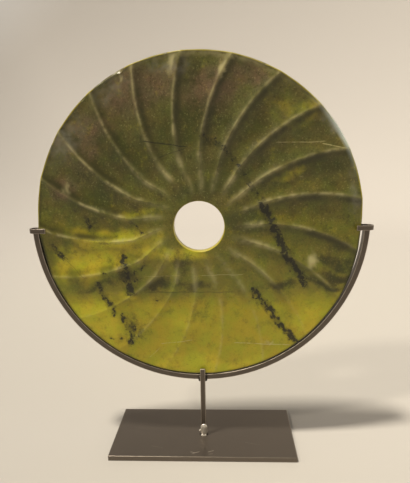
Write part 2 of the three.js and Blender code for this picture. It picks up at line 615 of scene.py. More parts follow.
@dataclass(frozen=True)
class Scratch:
    """A fine line between two places, drawn by the shader so that it stays crisp."""

    start: Place
    end: Place
    width: float
    strength: float = 1.0
    full_share: float = 0.85

    def mask(self, across: Value, up: Value) -> Value:
        """A narrow bell on the height off the straight line, times a window along it.

        Args:
            across: The shaded point's place along the line's first axis, in metres.
            up: Its place along the second.

        Returns:
            The mask.
        """
        slope = (self.end[1] - self.start[1]) / (self.end[0] - self.start[0])
        middle = (self.start[0] + self.end[0]) / 2 * MM
        half = abs(self.end[0] - self.start[0]) / 2 * MM
        off = up - across * slope - (self.start[1] - slope * self.start[0]) * MM
        line = off.absolute().rise(self.width * MM / 2, 0.0)
        window = (across - middle).absolute().rise(half, self.full_share * half)
        return line * window * self.strength


def strongest(masks: list[Any]) -> Any:
    """The largest of several masks at each point, for arrays or for a material's values.

    Args:
        masks: Masks of one kind.

    Returns:
        Their maximum.
    """
    total = masks[0]
    for mask in masks[1:]:
        total = np.maximum(total, mask) if isinstance(mask, np.ndarray) else total.highest(mask)
    return total


@dataclass(frozen=True)
class StoneMap:
    """Where the stone's clouds and veins lie, and its bloom with a painted sheen, in millimetres from the
    disc's centre.
    """

    seed: int = 11
    broad_pushes: tuple[Pair, ...] = ((70, 5), (19, 1.8))
    close_pushes: tuple[Pair, ...] = ((9, 1.6),)
    waves: int = 6

    KHAKI = (
        Patch(-112, 88, 62, 48),
        Patch(-60, 138, 80, 36, 12),
        Patch(12, 140, 52, 42, 0, 0.9),
        Patch(50, 152, 46, 24, -20, 0.9),
        Patch(-142, 40, 32, 28, 0, 0.8),
    )
    GREEN = (
        Patch(-74, 74, 66, 40, -20),
        Patch(-20, 96, 50, 36, 0, 0.9),
        Patch(-120, 22, 44, 18, -15, 0.8),
        Patch(30, 60, 40, 34, 40, 0.7),
        Patch(-100, 30, 50, 26, 0, 0.8),
        Patch(12, 36, 60, 22, 0, 0.95),
        Patch(48, -16, 44, 30, 0, 0.6),
        Patch(62, 96, 34, 30, 30, 0.7),
        Patch(132, 60, 44, 16, 10, 0.8),
        Patch(112, 100, 34, 10, 20, 0.5),
        Patch(130, 8, 40, 26, 0, 0.5),
        Patch(54, 4, 46, 30),
        Patch(88, -118, 32, 28, 0, 0.35),
    )
    BRIGHT = (
        Patch(-96, -18, 70, 26, 0, 1.1),
        Patch(-60, -30, 80, 18, 0, 0.7),
        Patch(-70, 12, 36, 8, -6, 0.6),
        Patch(-108, -42, 66, 28, 0, 1.3),
        Patch(-150, -50, 24, 38, 0, 0.8),
        Patch(88, 120, 36, 20, -35, 0.35),
        Patch(-20, -34, 50, 16),
        Patch(108, 112, 50, 26, 35, 0.38),
        Patch(104, 62, 44, 16, 15, 0.4),
        Patch(-50, -18, 40, 14, 35, 0.6),
        Patch(-118, -108, 56, 34, -40, 1.2),
        Patch(-80, -80, 24, 8, 15, 0.7),
        Patch(98, 54, 34, 8, 18, 0.5),
        Patch(0, -166, 120, 24, 0, 0.9),
        Patch(-20, -105, 60, 26, 0, 0.5),
        Patch(120, -105, 34, 22, 30, 0.7),
    )
    DARK = (
        Patch(-44, -66, 36, 14),
        Patch(-78, -60, 18, 20, 0, 0.9),
        Patch(-20, -44, 18, 30, 20, 0.75),
        Patch(-76, -118, 15, 30, 10, 0.6),
        Patch(-118, -68, 60, 9, 0, 0.6),
        Patch(-105, 58, 46, 26, 0, 0.55),
        Patch(-6, -70, 50, 8, 0, 0.7),
        Patch(148, -40, 30, 13, 0, 0.9),
        Patch(150, -56, 36, 14),
        Patch(138, -67, 44, 8, 0, 0.85),
        Patch(124, -54, 26, 12, 0, 0.6),
        Patch(152, -22, 22, 20, 0, 0.6),
        Patch(88, -69, 34, 13),
        Patch(6, -98, 20, 30, 0, 0.4),
        Patch(12, 88, 22, 12, 0, 0.7),
        Patch(-125, 52, 34, 14, -35, 0.6),
        Patch(10, 112, 44, 34, 0, 0.75),
        Patch(-8, 150, 22, 26, 0, 0.6),
        Patch(66, 110, 28, 16, 40, 0.5),
    )
    MOSS = (
        Vein(((68, 20), (76, 6), (81, -6), (88, -20), (95, -36), (104, -49), (116, -67)), 17, 1.0),
        Vein(((60, -74), (67, -86), (79, -98), (88, -114), (98, -124), (107, -135)), 16, 0.95),
        Vein(((-83, -38), (-80, -56), (-78, -75)), 22, 0.85),
        Patch(-74, -58, 20, 24, 0, 0.6),
        Vein(((-60, -44), (-68, -52)), 9, 0.7),
        Vein(((-113, -66), (-109, -82), (-98, -93), (-97, -102)), 14, 0.72),
        Vein(((-88, -106), (-76, -118), (-80, -136)), 16, 0.8),
        Vein(((4, 92), (22, 84), (36, 70), (47, 53), (66, 26)), 12, 0.62),
        Vein(((-160, -24), (-151, -37)), 13, 0.85),
        Vein(((-72, 3), (-62, -9)), 7, 0.75),
        Vein(((-122, 7), (-119, -5)), 12, 0.85),
        Patch(-79, -118, 20, 32, 10, 0.52),
        Patch(-91, -132, 6, 8, 20, 0.9),
        Patch(-102, -131, 5, 4, 0, 0.7),
        Patch(-50, -85, 4, 3.5, 0, 0.9),
        Patch(-106, -54, 5, 7, 0, 0.7),
        Patch(-134, 15, 6, 5, 0, 0.7),
        Patch(-66, 122, 4, 4, 0, 0.7),
    )
    CREAM = (
        Patch(123, -41, 9, 11, 0, 0.75),
        Patch(78, -136, 7, 3, -10, 0.5),
        Patch(-141, 39, 5, 9, 20, 0.45),
        # These two narrow patches are painted glints on the crests near the top rim; the rest are pale spots
        # in the stone.
        Patch(-25, 163, 5, 16, -8, 0.8),
        Patch(26, 157, 5, 15, -22, 0.8),
        Vein(((-77, 156), (-76, 146)), 3, 0.5),
    )
    # Bloom on the face with a painted sheen: up on the left and at the top the pale sheen of the lamps'
    # reflection, and at the right the pale reflection along the edge.
    BLOOM_AND_SHEEN = (
        Patch(-88, 138, 40, 18, 30, 0.4),
        Patch(-146, 90, 22, 50, -35, 0.5),
        Patch(-30, 162, 26, 14, 0, 0.5),
        Patch(146, 97, 9, 44, 38),
        Patch(166, 34, 8, 50, 8, 0.4),
    )

    def _pushed(self, right: np.ndarray, up: np.ndarray, pushes: tuple[Pair, ...]) -> list[np.ndarray]:
        """The places pushed about by sine waves of random direction and phase, size after size.

        Each wave adds reach / 3 times the sine of the distance along its direction over its
        length, which is between two thirds and four thirds of the size.

        Args:
            right: Each point's place to the right of the disc's centre.
            up: Its place above the centre.
            pushes: The size of the waves and their reach, one pair for each round.

        Returns:
            The moved places to the right and up.
        """
        for size, reach in pushes:
            draw = np.random.default_rng(self.seed + int(size))
            moved_right, moved_up = right, up
            for heading, phase, stretch in zip(*draw.random((3, self.waves))):
                along = right * math.cos(heading * FULL_TURN) + up * math.sin(heading * FULL_TURN)
                wave = along / (size * blend(2 / 3, 4 / 3, stretch)) * FULL_TURN + phase * FULL_TURN
                moved_right = moved_right + reach / 3 * np.sin(wave)
                moved_up = moved_up + reach / 3 * np.cos(wave)
            right, up = moved_right, moved_up
        return [right, up]

    def marks(self, right: np.ndarray, up: np.ndarray) -> dict[str, np.ndarray]:
        """One mark for each kind of cloud or vein, and one for the bloom with its painted sheen.

        Args:
            right: Each point's place to the right of the disc's centre.
            up: Its place above the centre.

        Returns:
            The marks by name, each the strongest of its clouds at each point.
        """
        broad = self._pushed(right, up, self.broad_pushes)
        close = self._pushed(right, up, self.close_pushes)
        kinds = {
            "khaki": (self.KHAKI, broad),
            "green": (self.GREEN, broad),
            "bright": (self.BRIGHT, broad),
            "dark": (self.DARK, broad),
            "moss": (self.MOSS, close),
            "cream": (self.CREAM, close),
            "bloom_and_sheen": (self.BLOOM_AND_SHEEN, broad),
        }
        return {
            name: strongest([shape.mask(*places) for shape in shapes])
            for name, (shapes, places) in kinds.items()
        }


@dataclass(frozen=True)
class JadeFinish:
    """Polished jade: khaki and deep green above, yellow-green below, clouded and veined.

    Each size is that of a noise's lumps in millimetres, and each depth that of a relief.
    """

    centre: Place
    khaki: Colour = (0.124, 0.086, 0.052)
    deep_green: Colour = (0.058, 0.058, 0.013)
    olive: Colour = (0.175, 0.160, 0.024)
    sage: Colour = (0.108, 0.098, 0.029)
    # Also the painted glow along the rim and up the lower bore.
    yellow_green: Colour = (0.47, 0.40, 0.026)
    # Also the painted shade on the steep flanks of the flutes.
    dark_cloud_and_shade: Colour = (0.038, 0.036, 0.010)
    # Also the painted shadow where the disc's lower edge sits down in the cradle.
    moss_and_shade_black: Colour = (0.016, 0.016, 0.010)
    # Also the painted highlights on the crests and the top edge, and the two painted glints at the top.
    cream: Colour = (0.50, 0.45, 0.22)
    # The bloom's colour, which also paints the sheen of the lamps' reflection.
    bloom_and_sheen: Colour = (0.33, 0.32, 0.26)
    # The painted reflection of the cool lamp along the right-hand edge.
    edge_sheen: Colour = (0.66, 0.76, 0.74)
    ochre_tint: Colour = (1.14, 1.07, 0.98)
    leaf_tint: Colour = (0.95, 1.12, 0.88)
    roughness: float = 0.27
    cloud_share: float = 0.9
    cloud_size: float = 22.0
    smoke_size: float = 8.0
    mottle_size: float = 12.0
    grain_size: float = 2.0
    granular_heights: Pair = (-90 * MM, 30 * MM)
    hue_size: float = 19.0
    stretch_size: float = 26.0
    crumb_size: float = 4.5
    polish_size: float = 14.0
    swell_depth: float = 0.7
    pit_size: float = 1.2
    pit_depth: float = 0.08

    HAIRLINES = (
        Scratch((-61, -58), (-20, -57), 1.2, 0.3),
        Scratch((0, -57), (50, -56), 1.3, 0.45),
        Scratch((-60, -155), (-46, -141), 1.6, 0.45),
        Scratch((-46, -138), (-8, -133), 1.6, 0.5),
        Scratch((35, -136), (104, -139), 1.8, 0.6),
        Scratch((80, 84), (134, 84), 1.4, 0.5),
        Scratch((128, 82), (160, 76), 1.6, 0.6),
    )
    CRACKS = (
        Scratch((-58, 87), (-10, 81), 1.8, 0.9),
        Scratch((-42, 70), (-12, 80), 1.5, 0.5),
        Scratch((-64, -76), (40, -76), 1.6, 0.5),
        Scratch((-150, -38), (-128, -60), 1.4, 0.45),
    )
    BEDS = (
        (0.0, "yellow_green", 0.76),
        (0.24, "yellow_green", 0.64),
        (0.29, "olive", 0.90),
        (0.50, "olive", 0.68),
        (0.66, "sage", 0.82),
        (1.0, "sage", 1.0),
    )

    def _beds(self, graph: Graph, flat: Any) -> bpy.types.NodeSocket:
        """The stone's beds: a ramp of colours from foot to top of the disc, on a pushed height.

        Args:
            graph: The material's nodes.
            flat: The place from the disc's centre, with no depth.

        Returns:
            The colour.
        """
        _, _, height = graph.parts(graph.wander(graph.wander(flat, 90, 12), 18, 4))
        share = height * (1 / (2 * DISC_RADIUS * MM)) + 0.5
        stops = [(at, tuple(part * lit for part in getattr(self, name))) for at, name, lit in self.BEDS]
        return graph.node("ShaderNodeValToRGB", {"stops": stops}, {"Fac": share}).outputs["Color"]

    def _clouds(self, graph: Graph, place: Any, colour: Any, smoke: Value) -> bpy.types.NodeSocket:
        """Lays the khaki, green and bright clouds over the beds, each with a ragged edge.

        Args:
            graph: The material's nodes.
            place: The place from the disc's centre.
            colour: The colour so far.
            smoke: Noise about 8 mm across, centred on 0.

        Returns:
            The colour with these layers on it.
        """
        clouds = graph.noise(place, self.cloud_size, 5, 0.62) - 0.5
        layers = (
            ("khaki", self.khaki, clouds * 0.9, (0.1, 0.75)),
            ("green", self.deep_green, clouds * 0.9, (0.15, 0.8)),
            ("bright", self.yellow_green, clouds * 0.7 + smoke * 0.8, (0.05, 1.05)),
        )
        for name, tone, ragged, band in layers:
            share = (graph.mark(name) + ragged).rise(*band)
            colour = graph.mix(colour, tone, share * self.cloud_share)
        return colour

    def _grain(
        self, graph: Graph, place: Any, colour: Any, smoke: Value, grain: Value
    ) -> bpy.types.NodeSocket:
        """Mottles the stone, lays its dark clouds, and grains it, most of all in the upper part.

        Args:
            graph: The material's nodes.
            place: The place from the disc's centre.
            colour: The colour so far.
            smoke: Noise about 8 mm across, centred on 0.
            grain: Noise about 2 mm across, from 0 to 1.

        Returns:
            The colour with these layers on it.
        """
        mottle = graph.noise(place, self.mottle_size, 6, 0.72)
        granular = 0.35 + 0.65 * graph.parts(place)[2].rise(*self.granular_heights)
        colour = graph.mix(colour, self.dark_cloud_and_shade, mottle.rise(0.48, 0.76) * (0.35 + 0.55 * granular))
        colour = graph.mix(colour, self.yellow_green, mottle.rise(0.46, 0.24) * 0.25)
        dark = (graph.mark("dark") + smoke * 1.4).rise(0.12, 1.0)
        colour = graph.mix(colour, self.dark_cloud_and_shade, dark)
        colour = graph.mix(colour, self.dark_cloud_and_shade, grain.rise(0.52, 0.75) * 0.85 * granular)
        colour = graph.mix(colour, self.cream, grain.rise(0.45, 0.22) * 0.34 * granular)
        hue = graph.noise(graph.wander(place, 30, 5), self.hue_size, 5, 0.62).rise(0.32, 0.68)
        return graph.vector("MULTIPLY", colour, graph.mix(self.ochre_tint, self.leaf_tint, hue))

    def _carving(self, graph: Graph, place: Any, colour: Any, smoke: Value) -> bpy.types.NodeSocket:
        """Paints shade on the steep flanks of the flutes and paints highlights on their crests, in
        stretches.

        Args:
            graph: The material's nodes.
            place: The place from the disc's centre.
            colour: The colour so far.
            smoke: Noise about 8 mm across, centred on 0.

        Returns:
            The colour with these layers on it.
        """
        stretches = graph.noise(place, self.stretch_size)
        # Painted shade on the steep clockwise flank of each flute.
        shaded = graph.mark("flank_shade") * (0.4 + 0.6 * stretches.rise(0.35, 0.6))
        colour = graph.mix(colour, self.dark_cloud_and_shade, shaded * 0.95)
        # Painted highlight along the crests.
        gleam = (0.2 + 0.8 * stretches.rise(0.6, 0.42)) * (smoke + 0.5).rise(0.25, 0.62)
        return graph.mix(colour, self.cream, graph.mark("crest") * gleam * 0.6)

    def _moss(self, graph: Graph, colour: Any, moss: Value, smoke: Value) -> bpy.types.NodeSocket:
        """Lays the moss over a darker halo of its own.

        Args:
            graph: The material's nodes.
            colour: The colour so far.
            moss: Where the moss is, from 0 to 1.
            smoke: Noise about 8 mm across, centred on 0.

        Returns:
            The colour with the moss on it.
        """
        halo = (graph.mark("moss") + smoke).rise(0.0, 0.9)
        colour = graph.mix(colour, self.dark_cloud_and_shade, halo * 0.6)
        return graph.mix(colour, self.moss_and_shade_black, moss * 0.9)

    def _wear_and_painted_light(self, graph: Graph, colour: Any, smoke: Value) -> bpy.types.NodeSocket:
        """Lays the painted light and shade by the edges: a painted glow along the rim and in the lower bore,
        a painted shadow where the disc sits in the cradle, a rubbed top edge with a painted highlight, bloom
        with a painted sheen, and a painted reflection on the right edge.

        Args:
            graph: The material's nodes.
            colour: The colour so far.
            smoke: Noise about 8 mm across, centred on 0.

        Returns:
            The colour with the wear on it.
        """
        patchy = smoke + 0.5
        bloom_and_sheen = graph.mark("bloom_and_sheen") * graph.mark("face") * patchy.rise(0.3, 0.7)
        layers = (
            # Painted glow of light through the thin edge, on the open upper part of the rim.
            (self.yellow_green, graph.mark("rim") * 0.65),
            # Painted shadow where the disc sits down in the cradle.
            (self.moss_and_shade_black, graph.mark("seat_shade") * 0.9),
            # Rubbed top edge, with a painted highlight laid over it.
            (self.cream, graph.mark("edge") * patchy.rise(0.3, 0.6) * 0.45),
            # Bloom with a painted sheen of the lamps' reflection.
            (self.bloom_and_sheen, bloom_and_sheen * 0.8),
            # Painted reflection of the cool lamp along the right-hand front edge.
            (self.edge_sheen, graph.mark("sheen") * 0.9),
            # Painted glow on the lower, upward-facing wall of the bore.
            (self.yellow_green, graph.mark("bore")),
        )
        for tone, share in layers:
            colour = graph.mix(colour, tone, share)
        return colour

    def make(self) -> bpy.types.Material:
        """Lays the stone's colours over one another and polishes it.

        Returns:
            The jade material, on Object coordinates from the disc's centre.
        """
        material, graph = new_material("carved_jade")
        middle = (self.centre[0] * MM, 0.0, self.centre[1] * MM)
        place = graph.vector("SUBTRACT", graph.place(), middle)
        flat = graph.vector("MULTIPLY", place, (1.0, 0.0, 1.0))
        smoke = graph.noise(place, self.smoke_size, 5, 0.65) - 0.5
        grain = graph.noise(place, self.grain_size, 4, 0.66)
        crumbs = graph.noise(place, self.crumb_size, 5, 0.7) - 0.5
        moss = (graph.mark("moss") * (1.05 + smoke * 2.2) + crumbs * 3.2).rise(0.60, 0.92)

        colour = self._clouds(graph, place, self._beds(graph, flat), smoke)
        colour = self._grain(graph, place, colour, smoke, grain)
        colour = self._carving(graph, place, colour, smoke)
        colour = self._moss(graph, colour, moss, smoke)

        across, _, up = graph.parts(graph.wander(flat, 16, 1.4))
        face = graph.mark("face")
        hairlines = strongest([line.mask(across, up) for line in self.HAIRLINES]) * face
        colour = graph.mix(colour, self.cream, hairlines * (crumbs + 0.5).rise(0.3, 0.55))
        cracks = strongest([line.mask(across, up) for line in self.CRACKS])
        colour = graph.mix(colour, self.moss_and_shade_black, cracks)
        # Pale spots in the stone, and the two painted glints on the top crests.
        colour = graph.mix(colour, self.cream, graph.mark("cream") * face)
        colour = self._wear_and_painted_light(graph, colour, smoke)

        polish = graph.noise(place, self.polish_size, 5, 0.6)
        roughness = self.roughness + 0.2 * (polish - 0.5) + 0.2 * moss + 0.1 * grain
        pits = graph.noise(place, self.pit_size, 2).rise(0.62, 0.78)
        normal = graph.bump(graph.noise(place, self.polish_size, 4, 0.55), self.swell_depth)
        normal = graph.bump(1 - pits - cracks - moss * 0.6, self.pit_depth, under=normal)
        graph.surface(
            {
                "Base Color": colour,
                "Roughness": roughness,
                "Normal": normal,
                "IOR": 1.5,
                "Specular IOR Level": 0.4,
                "Subsurface Weight": 0.12,
                "Subsurface Radius": (1.0, 0.9, 0.3),
                "Subsurface Scale": 2.5 * MM,
            }
        )
        return material


@dataclass(frozen=True)
class SteelFinish:
    """Waxed mild steel with a dark warm patina, rubbed lighter along its arrises, where a painted highlight
    is laid too.
    """

    name: str
    dark: Colour = (0.085, 0.070, 0.057)
    light: Colour = (0.14, 0.115, 0.092)
    # Rubbed steel on the arrises, light enough to stand as their painted highlight too.
    rubbed_and_glint: Colour = (0.50, 0.44, 0.37)
    roughness: float = 0.42
    metallic: float = 0.8
    mottling: float = 0.35
    rubbing_and_glint: float = 0.75

    def make(self, scuffs: tuple[Scratch, ...] = ()) -> bpy.types.Material:
        """The patina's clouds, fine grain and rubbed arrises with their painted highlight, with scratches
        where they are given.

        Args:
            scuffs: Scratches in a level face, placed in plan from the origin.

        Returns:
            The steel material.
        """
        material, graph = new_material(self.name)
        place = graph.place()
        clouds = graph.noise(place, 26, 5, 0.6)
        colour = graph.mix(self.dark, self.light, 0.5 + (clouds - 0.5) * 2 * self.mottling)
        stretched = graph.vector("MULTIPLY", place, (0.08, 1.0, 1.0))
        grain = graph.noise(stretched, 0.5, 3)
        colour = graph.mix(colour, self.light, grain.rise(0.4, 0.8) * 0.5 * self.mottling)
        specks = graph.noise(place, 1.3, 3).rise(0.6, 0.75)
        colour = graph.mix(colour, self.dark, specks * self.mottling)
        # Rubbed arrises, painted light enough to stand for their highlights as well.
        rubbed_and_glint = graph.mark("arris") * graph.noise(place, 7, 3).rise(0.05, 0.6) * self.rubbing_and_glint
        if scuffs:
            across, away, _ = graph.parts(graph.wander(place, 8, 0.5))
            scratched = strongest([scuff.mask(across, away) for scuff in scuffs])
            scratched = scratched * graph.noise(place, 2, 2).rise(0.25, 0.5)
            rubbed_and_glint = rubbed_and_glint.highest(scratched)
        colour = graph.mix(colour, self.rubbed_and_glint, rubbed_and_glint)
        roughness = self.roughness + 0.1 * (clouds - 0.5) + 0.06 * specks - 0.08 * rubbed_and_glint
        normal = graph.bump(clouds, 0.3 * self.mottling)
        normal = graph.bump(grain - 0.6 * specks, 0.03 * self.mottling, under=normal)
        graph.surface(
            {
                "Base Color": colour,
                "Roughness": roughness,
                "Metallic": self.metallic - 0.4 * self.mottling * specks,
                "Normal": normal,
                "Coat Weight": 0.1,
                "Coat Roughness": 0.35,
            }
        )
        return material


@dataclass(frozen=True)
class FloorFinish:
    """Plain pale studio floor, a shade deeper where it sweeps up into the backdrop."""

    floor: Colour = (0.52, 0.495, 0.46)
    backdrop: Colour = (0.49, 0.465, 0.44)
    roughness: float = 0.85
    fade_from_mm: float = 500.0
    fade_to_mm: float = 1700.0

    def make(self) -> bpy.types.Material:
        """A matt surface whose colour follows the distance from the part.

        Returns:
            The floor's material.
        """
        material, graph = new_material("pale_floor")
        across, away, up = graph.parts(graph.place())
        distance = (across * across + away * away + up * up).root()
        share = distance.rise(self.fade_from_mm * MM, self.fade_to_mm * MM)
        colour = graph.mix(self.floor, self.backdrop, share)
        graph.surface({"Base Color": colour, "Roughness": self.roughness})
        return material


# ---------------------------------------------------------------- the disc


@dataclass(frozen=True)
class Chip:
    """A small bite out of the disc's front edge."""

    at_deg: float
    spread_deg: float
    depth: float


@dataclass(frozen=True)
class JadeDisc:
    """The bi disc: a pierced round slab with curved flutes cut into its front face."""

    radius: float = DISC_RADIUS
    hole_radius: float = 27.3
    hole_offset: Place = (0.2, -2.5)
    centre: Place = (-1.6, 258.0)
    thickness_at_hole: float = 11.4
    thickness_at_rim: float = 9.0
    rim_bevel: float = 1.6
    hole_bevel: float = 0.9
    wall_share: float = 0.3
    flat_deg: float = -5.0
    flat_depth: float = 1.6
    flat_spread_deg: float = 10.0
    flutes: int = 20
    first_crest_deg: float = 0.6
    wander_mean_deg: float = -2.9
    wander_swing_deg: float = 3.75
    wander_towards_deg: float = 20.0
    turn_share: float = 0.42
    outer_sweep_deg: float = 11.0
    outer_sweep_power: float = 1.35
    inner_sweep_deg: float = 14.0
    inner_sweep_power: float = 1.3
    inner_sweep_towards_deg: float = 190.0
    depth_at_rim: float = 3.8
    depth_at_hole: float = 0.5
    floor_power: float = 2.4
    skew: float = 1.12
    # Widths of the painted highlight on the crests, by the bore and at the rim.
    crest_width_at_hole: float = 3.4
    crest_width: float = 1.7
    # Width of the painted shade on each flank.
    flank_width: float = 9.0
    smooth_collar: float = 0.26
    worn_share: float = 0.28
    rim_carving: float = 0.6
    chips: tuple[Chip, ...] = (
        Chip(116.2, 1.1, 2.6),
        Chip(118.5, 2.2, 1.0),
        Chip(124.0, 3.0, 0.9),
        Chip(131.9, 1.0, 1.7),
        Chip(100.0, 0.8, 0.7),
        Chip(152.0, 1.2, 0.6),
        Chip(67.0, 1.0, 0.5),
    )
    # Where round the disc the rubbed top edge with its painted highlight lies.
    edge_deg: float = 84.0
    edge_spread_deg: float = 26.0
    # Where the painted reflection lies along the front edge.
    sheen_deg: float = 33.0
    sheen_spread_deg: float = 9.0
    front_edge: Pair = (0.97, 1.0)
    # How far out the rubbed top edge with its painted highlight reaches.
    rubbed_and_glint_edge: Pair = (0.955, 0.985)
    # How far out the painted shadow of the cradle lies on the disc's lower edge.
    seated_edge: Pair = (0.985, 0.997)
    open_heights: Pair = (-0.15, 0.1)
    chip_depths: Pair = (0.1, 0.5)
    bore_heights: Pair = (-0.6, 0.4)
    # Shares of the painted glow on the bore's wall, at its foot and at its top.
    bore_glow_shares: Pair = (0.9, 0.3)
    steps_per_flute: int = 40
    face_rings: int = 78
    back_rings: int = 10
    bevel_steps: int = 4

    def _section(self) -> dict[str, np.ndarray]:
        """The closed section of the slab, out over the face, round the rim and home by the bore.

        Each bevel is a quarter circle: its radius grows with the sine while its set-back shrinks
        with the cosine.

        Returns:
            Arrays, one number per ring: radius, side (-1 front, 1 back), setback, carving, rim (the share of
                the painted glow along the edge).
        """
        parts: list[list[np.ndarray]] = []

        def add(radius: np.ndarray, *others: Any) -> None:
            """Adds rings to the section: their radii, sides, setbacks, carving and rim marks."""
            parts.append([np.broadcast_to(part, radius.shape) for part in (radius, *others)])

        turn = np.linspace(0, math.pi / 2, self.bevel_steps + 1)
        inner = self.hole_radius + self.hole_bevel
        outer = self.radius - self.rim_bevel
        hole_radii = inner - self.hole_bevel * np.cos(turn[:-1])
        hole_setback = self.hole_bevel * (1 - np.sin(turn[:-1]))
        rim_radii = outer + self.rim_bevel * np.sin(turn[1:])
        rim_setback = self.rim_bevel * (1 - np.cos(turn[1:]))
        bore, wall = np.array([self.hole_radius]), np.array([self.radius])
        add(hole_radii, -1, hole_setback, 0, 0)
        add(np.linspace(inner, outer, self.face_rings), -1, 0, 1, 0)
        # The last number of each ring is its share of the painted glow along the rim: full on the front
        # bevel, less on the wall and the back bevel.
        add(rim_radii, -1, rim_setback, self.rim_carving, 1)
        add(wall, -self.wall_share, 0, 0, 0.2)
        add(wall, self.wall_share, 0, 0, 0.2)
        add(rim_radii[::-1], 1, rim_setback[::-1], 0, 0.4)
        add(np.linspace(outer, inner, self.back_rings), 1, 0, 0, 0)
        add(hole_radii[::-1], 1, hole_setback[::-1], 0, 0)
        add(bore, self.wall_share, 0, 0, 0)
        add(bore, -self.wall_share, 0, 0, 0)
        names = ("radius", "side", "setback", "carving", "rim")
        return {name: np.concatenate(rows) for name, rows in zip(names, zip(*parts))}

    def _crest_angle(self, angle: np.ndarray) -> np.ndarray:
        """Where a crest laid out evenly at an angle really stands: angle + mean + swing x cosine."""
        swing = self.wander_swing_deg * np.cos(angle - math.radians(self.wander_towards_deg))
        return angle + np.radians(self.wander_mean_deg + swing)

    def _sweep(self, share: np.ndarray, angle: np.ndarray) -> np.ndarray:
        """How far a crest has trailed clockwise at a share of the radius.

        Beyond the turn it is the outer sweep times a power of the share run outwards. Within it,
        it is the inner sweep times a power of the share run inwards, times a hook that is full on
        one side of the disc and dies out opposite: (1 + cosine) / 2.

        Args:
            share: The share of the disc's radius.
            angle: Where the crest stands, in radians.

        Returns:
            The angle trailed, in radians.
        """
        outward = np.clip((share - self.turn_share) / (1 - self.turn_share), 0, None)
        hole_share = self.hole_radius / self.radius
        inward = np.clip((self.turn_share - share) / (self.turn_share - hole_share), 0, None)
        hook = (1 + np.cos(angle - math.radians(self.inner_sweep_towards_deg))) / 2
        outer = self.outer_sweep_deg * outward**self.outer_sweep_power
        return np.radians(outer + self.inner_sweep_deg * hook * inward**self.inner_sweep_power)

    def _carving(self, place: np.ndarray, share: np.ndarray, height: np.ndarray) -> np.ndarray:
        """Depth below the crests.

        Across a flute the floor is 1 - |2 place^skew - 1|^power. It deepens from the smooth
        collar to the rim, and the lower part is worn to a share of it.

        Args:
            place: The share of the way from one crest to the next.
            share: The share of the disc's radius.
            height: The height over the disc's centre, as a share of its radius.

        Returns:
            The depth in millimetres.
        """
        floor = 1 - np.abs(2 * place**self.skew - 1) ** self.floor_power
        spread = smoothstep(self.smooth_collar * 0.7, 0.62, share)
        wear = blend(self.worn_share, 1.0, smoothstep(-0.75, -0.05, height))
        return blend(self.depth_at_hole * spread, self.depth_at_rim, spread) * floor * wear

    def _crest_mark(self, place: np.ndarray, share: np.ndarray, height: np.ndarray) -> np.ndarray:
        """A bell across each crest, exp(-(distance / width)^2), fading at the collar and below: where the
        painted highlight on the crests goes.

        Args:
            place: The share of the way from one crest to the next.
            share: The share of the disc's radius.
            height: The height over the disc's centre, as a share of its radius.

        Returns:
            The mark.
        """
        spacing = FULL_TURN * share * self.radius / self.flutes
        away = np.minimum(place, 1 - place) * spacing
        fresh = blend(0.3, 1.0, smoothstep(-0.6, 0.0, height))
        width = blend(self.crest_width_at_hole, self.crest_width, smoothstep(0.25, 0.75, share))
        return np.exp(-((away / width) ** 2)) * smoothstep(0.17, 0.34, share) * fresh

    def _flank_shade_mark(self, place: np.ndarray, share: np.ndarray, height: np.ndarray) -> np.ndarray:
        """A bell on the clockwise side of each crest only: where the painted shade on the steep flank goes.

        Args:
            place: The share of the way from one crest to the next.
            share: The share of the disc's radius.
            height: The height over the disc's centre, as a share of its radius.

        Returns:
            The mark.
        """
        spacing = FULL_TURN * share * self.radius / self.flutes
        away = (1 - place) * spacing - self.flank_width / 2
        fresh = smoothstep(-0.7, 0.0, height)
        return np.exp(-((away / (self.flank_width / 2)) ** 2)) * smoothstep(0.3, 0.7, share) * fresh

    def skin(self) -> Skin:
        """The whole surface: rings of the section by steps round the disc, swept with the crests.

        Each point stands at its ring's radius, less the worn flat and, on the front edge, less the
        chips. It is shifted with the bore the nearer it is to it. Its depth is half the slab's
        thickness, less the bevel's setback and less the carving.

        Returns:
            The skin, with the marks that the finish reads.
        """
        section = self._section()
        columns = self.flutes * self.steps_per_flute
        step = np.arange(columns)
        even = step / columns * FULL_TURN + math.radians(self.first_crest_deg)
        crest = self._crest_angle(even)[None, :]
        radius = section["radius"][:, None]
        share = radius / self.radius
        angle = crest - self._sweep(share, crest)
        outward = (radius - self.hole_radius) / (self.radius - self.hole_radius)
        shortfall = self.flat_depth * bump_at(angle, self.flat_deg, self.flat_spread_deg)
        bites = sum(chip.depth * bump_at(angle, chip.at_deg, chip.spread_deg) for chip in self.chips)
        front = (section["side"] == -1)[:, None] * smoothstep(*self.front_edge, share)
        reach = radius - outward**2 * shortfall - front * bites
        x = self.hole_offset[0] * (1 - outward) + reach * np.cos(angle)
        z = self.hole_offset[1] * (1 - outward) + reach * np.sin(angle)
        place = (step % self.steps_per_flute / self.steps_per_flute)[None, :]
        height = z / self.radius
        half = blend(self.thickness_at_hole, self.thickness_at_rim, outward) / 2
        carved = section["carving"][:, None]
        cut = carved * self._carving(place, share, height)
        y = section["side"][:, None] * (half - section["setback"][:, None] - cut)
        points = np.stack([self.centre[0] + x, y, self.centre[1] + z], axis=-1)
        in_bore = radius < self.hole_radius + self.hole_bevel
